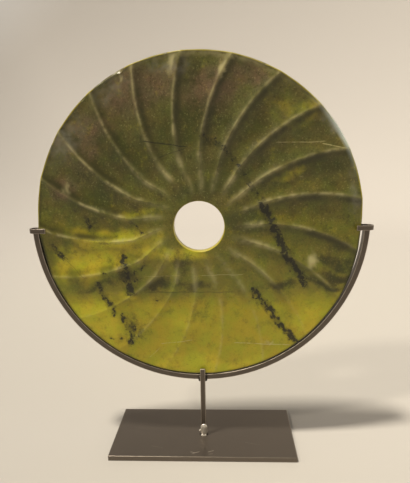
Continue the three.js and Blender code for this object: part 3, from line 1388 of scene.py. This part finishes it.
        # The painted glow in the bore is strongest on its lower, upward-facing wall.
        bore_glow = blend(*self.bore_glow_shares, smoothstep(*self.bore_heights, np.sin(angle)))
        seated = 1 - smoothstep(*self.open_heights, height)
        unchipped = 1 - smoothstep(*self.chip_depths, bites)
        rubbed_and_glint = bump_at(angle, self.edge_deg, self.edge_spread_deg)
        marks = {
            # Painted glow of light through the thin edge, on the part not seated in the cradle.
            "rim": section["rim"][:, None] * smoothstep(*self.open_heights, height) * unchipped,
            # Painted reflection of the cool lamp on the front edge at the right.
            "sheen": front * bump_at(angle, self.sheen_deg, self.sheen_spread_deg),
            # Painted shadow along the lower edge, where the disc sits in the cradle.
            "seat_shade": smoothstep(*self.seated_edge, share) * seated,
            # Painted glow on the lower wall of the bore.
            "bore": in_bore * bore_glow,
            "face": np.broadcast_to((section["side"] < 0)[:, None].astype(float), x.shape),
            # Painted highlight along the crests.
            "crest": carved * self._crest_mark(place, share, height),
            # Painted shade on the steep flank clockwise of each crest.
            "flank_shade": carved * self._flank_shade_mark(place, share, height),
            # The top of the front edge, rubbed pale and with a painted highlight.
            "edge": smoothstep(*self.rubbed_and_glint_edge, share) * rubbed_and_glint,
        }
        marks |= StoneMap().marks(x, z)
        return Skin("carved_disc", points, True, Slot.JADE, marks)

    def build(self) -> bpy.types.Object:
        """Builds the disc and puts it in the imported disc's place."""
        piece = self.skin().build(JadeFinish(self.centre).make())
        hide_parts("jade_disc")
        return piece


# ---------------------------------------------------------------- the stand


@dataclass(frozen=True)
class BasePlate:
    """The flat steel plate that the upright is welded to."""

    section: BarSection = BarSection(210.0, 100.0, 0.5, arc_steps=3, collar=0.8)
    thickness: float = 6.0

    def build(self, steel: bpy.types.Material) -> bpy.types.Object:
        """Carries the plate's outline up through its thickness.

        Args:
            steel: The finish of the piece.

        Returns:
            The piece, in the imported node's place.
        """
        along, inset, ends = self.section.stations(self.thickness, 2)
        points = straight_rail((0.0, 0.0), along, 0.0).carry(self.section.outline(inset))
        arris = self.section.arris_marks(ends)
        piece = Skin("steel_base_plate", points, False, Slot.STEEL, {"arris": arris}).build(steel)
        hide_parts("base_plate")
        return piece


@dataclass(frozen=True)
class Strip:
    """A straight upright strip whose top end is a claw against the disc's foot."""

    name: str
    node: str
    middle_y: float
    bottom: float
    top: float
    section: BarSection = BarSection(5.8, 3.0, 0.5, arc_steps=3, collar=0.3)
    rows: int = 60

    def build(self, steel: bpy.types.Material) -> bpy.types.Object:
        """Carries the strip's outline up its length.

        Args:
            steel: The finish of the piece.

        Returns:
            The piece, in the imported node's place.
        """
        along, inset, ends = self.section.stations(self.top - self.bottom, self.rows)
        rail = straight_rail((0.0, self.middle_y), along, self.bottom)
        points = rail.carry(self.section.outline(inset))
        arris = self.section.arris_marks(ends)
        arris[-1] = 1.0  # the cut top end is rubbed all over, and painted pale as a highlight where its top face catches the light
        piece = Skin(self.name, points, False, Slot.STEEL, {"arris": arris}).build(steel)
        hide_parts(self.node)
        return piece


@dataclass(frozen=True)
class CradleArc:
    """The square-edged bar bent to just under a half circle, which the disc sits in."""

    centre: Place = (-1.0, 258.4)
    inner_radius: float = 176.0
    section: BarSection = BarSection(8.4, 6.0, 0.4, arc_steps=3, collar=0.35)
    end_heights: Pair = (253.2, 254.4)
    rows: int = 150

    def build(self, steel: bpy.types.Material) -> bpy.types.Object:
        """Carries the bar's outline round the arc from the left end to the right.

        The centre is the arc's centre plus the middle radius along each angle. Across is -Y and
        upward is outwards from the arc's centre.

        Args:
            steel: The finish of the piece.

        Returns:
            The piece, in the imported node's place.
        """
        middle = self.inner_radius + self.section.depth / 2
        left, right = ((self.centre[1] - height) / middle for height in self.end_heights)
        start = math.pi + math.asin(left)
        end = FULL_TURN - math.asin(right)
        along, inset, ends = self.section.stations((end - start) * middle, self.rows)
        angle = start + along / middle
        outward = np.stack([np.cos(angle), np.zeros_like(angle), np.sin(angle)], -1)
        hub = np.array([self.centre[0], 0.0, self.centre[1]])
        across = np.tile([0.0, -1.0, 0.0], (len(angle), 1))
        points = Rail(hub + middle * outward, across, outward).carry(self.section.outline(inset))
        arris = self.section.arris_marks(ends)
        piece = Skin("steel_cradle_arc", points, False, Slot.STEEL, {"arris": arris}).build(steel)
        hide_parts("cradle_arc")
        return piece


@dataclass(frozen=True)
class EdgeClip:
    """A strip bent to a U in plan that holds the disc's edge, welded to an end of the arc."""

    name: str
    node: str
    side: int
    top: float
    centre_x: float = -1.0
    tip: float = 167.4
    outer: float = 186.4
    inner_half: float = 5.1
    section: BarSection = BarSection(2.0, 5.0, 0.25, arc_steps=3, collar=0.25)
    rows: int = 48

    def build(self, steel: bpy.types.Material) -> bpy.types.Object:
        """Carries the strip's outline along the front leg, round the bend and back.

        Along a leg the centre moves straight; round the bend it is the bend's centre plus the
        middle radius along each angle, and across always points away from the bend's inside.

        Args:
            steel: The finish of the piece.

        Returns:
            The piece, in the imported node's place.
        """
        middle = self.inner_half + self.section.width / 2
        bend_x = self.outer - self.inner_half - self.section.width
        leg = bend_x - self.tip
        along, inset, ends = self.section.stations(2 * leg + math.pi * middle, self.rows)
        turn = np.clip((along - leg) / middle, 0, math.pi) - math.pi / 2
        before = np.clip(leg - along, 0, None)
        after = np.clip(along - leg - math.pi * middle, 0, None)
        x = bend_x - before - after + middle * np.cos(turn)
        y = middle * np.sin(turn)
        height = np.full_like(x, self.top - self.section.depth / 2)
        across = np.stack([self.side * np.cos(turn), np.sin(turn), np.zeros_like(turn)], -1)
        centres = np.stack([self.centre_x + self.side * x, y, height], -1)
        upward = np.tile([0.0, 0.0, 1.0], (len(turn), 1))
        points = Rail(centres, across, upward).carry(self.section.outline(inset))
        arris = self.section.arris_marks(ends)
        piece = Skin(self.name, points, False, Slot.STEEL, {"arris": arris}).build(steel)
        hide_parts(self.node)
        return piece


@dataclass(frozen=True)
class WeldBead:
    """A rippled run of weld metal between two places, thickest at its middle."""

    name: str
    start: tuple[float, float, float]
    end: tuple[float, float, float]
    radius: float
    # True for a bead in the bright metal that stands as a painted highlight.
    painted_glint: bool = False
    flatness: float = 1.0
    ripple: float = 0.1
    pitch: float = 1.1
    end_turn: float = 0.04
    steep: float = 0.5
    rows: int = 40
    columns: int = 20

    def build(self, weld: bpy.types.Material) -> bpy.types.Object:
        """A round section carried along the run.

        Its radius is the bead's times the square root of (1 - t^4), with t from -1 to 1, times
        1 plus the ripple times a sine of the distance along. The flatness squeezes it one way.
        The section's side lies level, and along +X on a run that rises too steeply for that.

        Args:
            weld: The finish of the bead.

        Returns:
            The bead.
        """
        start, end = np.array(self.start), np.array(self.end)
        length = float(np.linalg.norm(end - start))
        direction = (end - start) / length
        side = np.cross(direction, [0.0, 0.0, 1.0])
        if np.linalg.norm(side) < self.steep:
            side = np.array([1.0, 0.0, 0.0])
        side = side / np.linalg.norm(side)
        lift = np.cross(side, direction)
        across = -np.cos(np.linspace(self.end_turn, math.pi - self.end_turn, self.rows))
        swell = (1 - across**4) ** 0.5
        ripples = 1 + self.ripple * np.sin((across + 1) * length / 2 / self.pitch * FULL_TURN)
        radius = self.radius * swell * ripples
        angle = np.arange(self.columns) / self.columns * FULL_TURN
        section = np.stack([np.cos(angle), self.flatness * np.sin(angle)], -1)
        outline = radius[:, None, None] * section[None]
        centres = start + (across[:, None] + 1) / 2 * (end - start)
        rail = Rail(centres, np.tile(side, (self.rows, 1)), np.tile(lift, (self.rows, 1)))
        unrubbed = {"arris": np.zeros((self.rows, self.columns))}
        return Skin(self.name, rail.carry(outline), False, Slot.STEEL, unrubbed).build(weld)


@dataclass(frozen=True)
class Stand:
    """The welded steel stand: plate, upright, cradle arc, back claw and the two edge clips."""

    claw_top: float = 90.5
    strip_y: float = 6.6
    plate_top: float = 6.0
    arc_bottom: float = 76.4
    clip_tops: Pair = (254.2, 255.4)
    strip_half: float = 2.9
    bead_out: float = 0.5
    back_bead_out: float = 0.8
    bead_overlap: float = 0.4
    foot_lift: float = 0.2
    foot_front: float = -8.2
    foot_back: float = -5.0
    mound_height: float = 14.5
    wing_heights: Pair = (8.4, 5.4)
    claw_weld_low: Pair = (5.3, 74.6)
    claw_weld_high: Pair = (5.0, 81.4)
    patina: SteelFinish = SteelFinish("patinated_steel")
    plate_patina: SteelFinish = SteelFinish(
        "patinated_plate_steel",
        dark=(0.115, 0.097, 0.080),
        light=(0.18, 0.152, 0.125),
        roughness=0.33,
        mottling=0.1,
        rubbing_and_glint=0.2,
    )
    weld_finish: SteelFinish = SteelFinish(
        "weld_metal", dark=(0.03, 0.026, 0.022), light=(0.09, 0.075, 0.06), roughness=0.5
    )
    # Bright metal that paints the highlight on the upright's foot and the streak of reflected light on the
    # plate beside it.
    glint_weld_finish: SteelFinish = SteelFinish(
        "weld_metal_with_painted_glint", dark=(0.55, 0.51, 0.45), light=(0.95, 0.91, 0.82), roughness=0.36
    )
    scuffs: tuple[Scratch, ...] = (
        Scratch((-14, -41), (-7, -43), 1.6, 1.0),
        Scratch((-12, -45), (-3, -40), 1.5, 1.0),
        Scratch((6, -41), (13, -38), 1.6, 1.0),
        Scratch((7, -45), (12, -44), 1.0, 0.6),
        Scratch((-60, -30), (-45, -34), 0.6, 0.4),
        Scratch((48, -22), (66, -27), 0.6, 0.4),
    )

    def build(self) -> list[bpy.types.Object]:
        """Builds and dresses every steel piece.

        Returns:
            The pieces in the order that a welder would put them together.
        """
        steel = self.patina.make()
        plate_steel = self.plate_patina.make(self.scuffs)
        weld, glint_weld = self.weld_finish.make(), self.glint_weld_finish.make()
        upright = Strip(
            "steel_upright", "upright_with_front_claw", -self.strip_y, self.plate_top, self.claw_top
        )
        back_claw = Strip("steel_back_claw", "back_claw", self.strip_y, self.arc_bottom, self.claw_top)
        pieces = [BasePlate().build(plate_steel)]
        pieces += [piece.build(steel) for piece in (upright, CradleArc(), back_claw)]
        for name, side, top in zip(("left_clip", "right_clip"), (-1, 1), self.clip_tops):
            pieces.append(EdgeClip(f"steel_{name}", name, side, top).build(steel))
        beads = self._foot_beads() + self._side_beads("left", -1) + self._side_beads("right", 1)
        # Beads marked so take the bright metal that paints the highlight on the foot.
        pieces += [bead.build(glint_weld if bead.painted_glint else weld) for bead in beads]
        return pieces

    def _foot_beads(self) -> list[WeldBead]:
        """The runs before and behind the upright's foot, with a mound and a small wing. The front run, the
        mound and the wing are in bright metal: a painted highlight for the lit foot of the upright and for
        the streak of light reflected onto the plate.

        Returns:
            The beads, not yet built.
        """
        foot, front, back = self.plate_top + self.foot_lift, self.foot_front, self.foot_back
        out, back_out = self.strip_half + self.bead_out, self.strip_half + self.back_bead_out
        toe = front - self.bead_overlap
        high, low = (foot + height for height in self.wing_heights)
        mound_top = (0.5, front, foot + self.mound_height)
        return [
            # The front run, the mound and the wing are painted highlights in bright metal.
            WeldBead("foot_weld_glint_front", (-out, toe, foot), (out, toe, foot), 1.6, True),
            WeldBead("foot_weld_back", (-back_out, back, foot), (back_out, back, foot), 1.3),
            WeldBead("foot_weld_glint_mound", (0.3, front, foot), mound_top, 4.0, True, flatness=0.5, ripple=0.03),
            WeldBead("foot_weld_glint_wing", (-2.0, front, high), (-5.4, front, low), 1.1, True, flatness=0.8),
        ]

    def _side_beads(self, name: str, side: int) -> list[WeldBead]:
        """The runs on one side of the strips: at the foot, and under the arc by both claws.

        Args:
            name: The side's name.
            side: -1 on the left and 1 on the right.

        Returns:
            The beads, not yet built.
        """
        foot, x = self.plate_top + self.foot_lift, side * (self.strip_half + self.bead_out)
        toe, heel = self.foot_front - self.bead_overlap, self.foot_back + self.bead_overlap
        beads = [WeldBead(f"foot_weld_{name}", (x, toe, foot), (x, heel, foot), 1.4)]
        (low_y, low_z), (high_y, high_z) = self.claw_weld_low, self.claw_weld_high
        for claw, sign in (("upright", -1), ("back_claw", 1)):
            start, end = (x, sign * low_y, low_z), (x, sign * high_y, high_z)
            beads.append(WeldBead(f"{claw}_{name}_weld", start, end, 1.8))
        return beads


# ---------------------------------------------------------------- the studio


@dataclass(frozen=True)
class Lamp:
    """A far soft lamp, whose light comes evenly from one direction."""

    name: str
    towards: tuple[float, float, float]
    spread_deg: float
    power: float
    colour: Colour

    def build(self) -> None:
        """Hangs the lamp and turns it so that its light comes from its direction."""
        light = bpy.data.lights.new(self.name, "SUN")
        light.angle = math.radians(self.spread_deg)
        light.energy = self.power
        light.color = self.colour
        lamp = bpy.data.objects.new(self.name, light)
        lamp.rotation_euler = Vector(self.towards).to_track_quat("Z", "Y").to_euler()
        bpy.context.scene.collection.objects.link(lamp)


@dataclass(frozen=True)
class Studio:
    """Pale floor that curves up all round far away, soft lamps and the camera."""

    eye: tuple[float, float, float] = (28.13, -517.09, 337.89)
    yaw_deg: float = -2.11
    pitch_deg: float = 13.65
    roll_deg: float = 0.765
    sensor_mm: float = 36.0
    lens_mm: float = 35.98
    shift: Pair = (-0.009, 0.048)
    clip_m: Pair = (0.05, 30.0)
    floor_radius: float = 1.6
    floor_middle: float = 0.01
    floor_rings: int = 12
    bowl_radius: float = 3.2
    bowl_height: float = 3.0
    bowl_rings: int = 24
    floor_sides: int = 96
    world_colour: Colour = (1.0, 0.97, 0.93)
    world_strength: float = 0.19
    lamps: tuple[Lamp, ...] = (
        Lamp("overhead_lamp", (-0.30, -0.17, 1.0), 7.0, 3.35, (1.0, 0.92, 0.78)),
        Lamp("left_lamp", (-0.68, -0.55, 0.82), 6.0, 1.1, (1.0, 0.90, 0.74)),
        Lamp("front_lamp", (-0.55, -0.80, 0.16), 4.0, 0.4, (1.0, 0.94, 0.86)),
        Lamp("right_lamp", (0.90, -0.14, 0.46), 5.0, 1.2, (0.84, 0.93, 1.0)),
    )

    def _camera(self) -> None:
        """Sets the camera from its yaw, pitch and roll.

        It looks along (sin yaw cos pitch, cos yaw cos pitch, -sin pitch), and the roll turns its
        right-hand and downward directions about that line.
        """
        yaw, pitch, roll = (math.radians(a) for a in (self.yaw_deg, self.pitch_deg, self.roll_deg))
        level_reach = math.cos(pitch)
        forward = Vector((math.sin(yaw) * level_reach, math.cos(yaw) * level_reach, -math.sin(pitch)))
        level = Vector((math.cos(yaw), -math.sin(yaw), 0.0))
        down = forward.cross(level)
        right = level * math.cos(roll) + down * math.sin(roll)
        rolled = down * math.cos(roll) - level * math.sin(roll)
        data = bpy.data.cameras.new("camera")
        data.sensor_width = self.sensor_mm
        data.lens = self.lens_mm
        data.shift_x, data.shift_y = self.shift
        data.clip_start, data.clip_end = self.clip_m
        camera = bpy.data.objects.new("camera", data)
        turned = Matrix((right, -rolled, -forward)).transposed().to_4x4()
        camera.matrix_world = Matrix.Translation(Vector(self.eye) * MM) @ turned
        bpy.context.scene.collection.objects.link(camera)
        bpy.context.scene.camera = camera

    def _floor(self) -> None:
        """A round floor whose far edge sweeps up, as rings of a profile turned about Z.

        The profile is flat to the floor's radius and then a quarter of an oval: outwards with
        the sine and upwards with one less the cosine.
        """
        turn = np.linspace(0, math.pi / 2, self.bowl_rings)[1:]
        flat = np.linspace(self.floor_middle, self.floor_radius, self.floor_rings)
        radius = np.r_[flat, blend(self.floor_radius, self.bowl_radius, np.sin(turn))]
        height = np.r_[np.zeros(self.floor_rings), self.bowl_height * (1 - np.cos(turn))]
        angle = np.arange(self.floor_sides) / self.floor_sides * FULL_TURN
        x = radius[:, None] * np.cos(angle)
        y = radius[:, None] * np.sin(angle)
        z = np.broadcast_to(height[:, None], x.shape)
        points = np.stack([x, y, z], -1).reshape(-1, 3)
        rows, columns = x.shape
        row, column = np.meshgrid(np.arange(rows - 1), np.arange(columns), indexing="ij")
        here, beside = row * columns + column, row * columns + (column + 1) % columns
        quads = np.stack([here, here + columns, beside + columns, beside], -1)
        faces = quads.reshape(-1, 4).tolist() + [list(range(columns))]
        mesh = bpy.data.meshes.new("studio_floor")
        mesh.from_pydata(points.tolist(), [], faces)
        mesh.polygons.foreach_set("use_smooth", np.ones(len(mesh.polygons), bool))
        mesh.materials.append(FloorFinish().make())
        floor = bpy.data.objects.new("studio_floor", mesh)
        bpy.context.scene.collection.objects.link(floor)
        floor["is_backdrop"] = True

    def _world(self) -> None:
        """An even soft light from all round."""
        world = bpy.data.worlds.new("studio_world")
        world.use_nodes = True
        backdrop = world.node_tree.nodes["Background"]
        backdrop.inputs["Color"].default_value = (*self.world_colour, 1.0)
        backdrop.inputs["Strength"].default_value = self.world_strength
        bpy.context.scene.world = world

    def build(self) -> None:
        """Sets up floor, light and camera."""
        self._floor()
        self._world()
        for lamp in self.lamps:
            lamp.build()
        self._camera()
        bpy.context.scene.view_settings.view_transform = "Standard"


def write_sizes() -> None:
    """Gathers the CAD box and the box of what is shown as plain lists of corners."""
    boxes = {"cad": CAD_BOX, "visual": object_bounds()}
    plain = {name: [list(corner) for corner in box] for name, box in boxes.items()}


def main() -> None:
    """Builds the disc, the stand and the studio in order."""
    logging.basicConfig(level=logging.INFO, format="%(name)s %(message)s")
    disc = JadeDisc().build()
    LOG.info("disc: %s", disc.name)
    for piece in Stand().build():
        LOG.info("stand: %s", piece.name)
    Studio().build()
    write_sizes()


if __name__ == "__main__":
    main()
